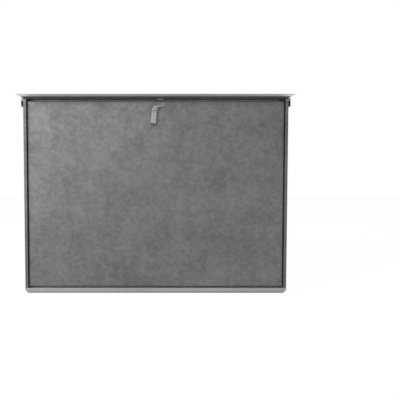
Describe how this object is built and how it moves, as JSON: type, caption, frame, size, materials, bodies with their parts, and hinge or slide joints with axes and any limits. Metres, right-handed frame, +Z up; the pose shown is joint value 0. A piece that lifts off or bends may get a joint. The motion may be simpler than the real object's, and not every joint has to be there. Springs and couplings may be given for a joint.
{
  "type": "crawlspace access door",
  "caption": "Galvanised sheet steel crawlspace door in a folded frame, with a drip hood with flared ends over its head and a turning latch at the top of the recessed door.",
  "frame": {"origin": "middle of the sill's underside, halfway through the frame's depth", "axes": "+X right and -Y towards someone facing the door from outside, +Z up"},
  "size_m": [0.836, 0.0628, 0.6079],
  "materials": {
    "galvanised_sheet": "hot-dip galvanised sheet, satin with a faint spangle",
    "galvanised_door_sheet": "hot-dip galvanised sheet, satin with a faint spangle",
    "zinc_plated_steel": "bright zinc plating on pressed steel",
    "spring_steel": "oiled spring steel",
    "rivet_aluminium": "plain blind rivet",
    "plated_rod_steel": "zinc plated turned steel"
  },
  "bodies": {
    "frame": {"left_jamb": "galvanised_sheet", "right_jamb": "galvanised_sheet", "sill": "galvanised_sheet", "header": "galvanised_sheet", "drip_hood": "galvanised_sheet", "hood_rivets": "rivet_aluminium", "header_rivets": "rivet_aluminium", "hinge_rod": "plated_rod_steel", "rod_spacers": "plated_rod_steel"},
    "door": {"door_panel": "galvanised_door_sheet", "latch_stud": "plated_rod_steel", "latch_spring_washer": "spring_steel", "latch_bush": "plated_rod_steel", "latch_back_washer": "plated_rod_steel", "latch_nut": "plated_rod_steel"},
    "latch": {"latch_handle": "zinc_plated_steel", "latch_tongue": "zinc_plated_steel", "stop_pin": "plated_rod_steel"}
  },
  "joints": [
    {"name": "door_swing", "type": "hinge", "parent": "frame", "child": "door", "pos_m": [0, 0.0015, 0.024], "axis": [1, 0, 0], "range_deg": [0, 100]},
    {"name": "latch_turn", "type": "hinge", "parent": "door", "child": "latch", "pos_m": [-0.003, 0, 0.567], "axis": [0, -1, 0], "range_deg": [0, 32]}
  ]
}
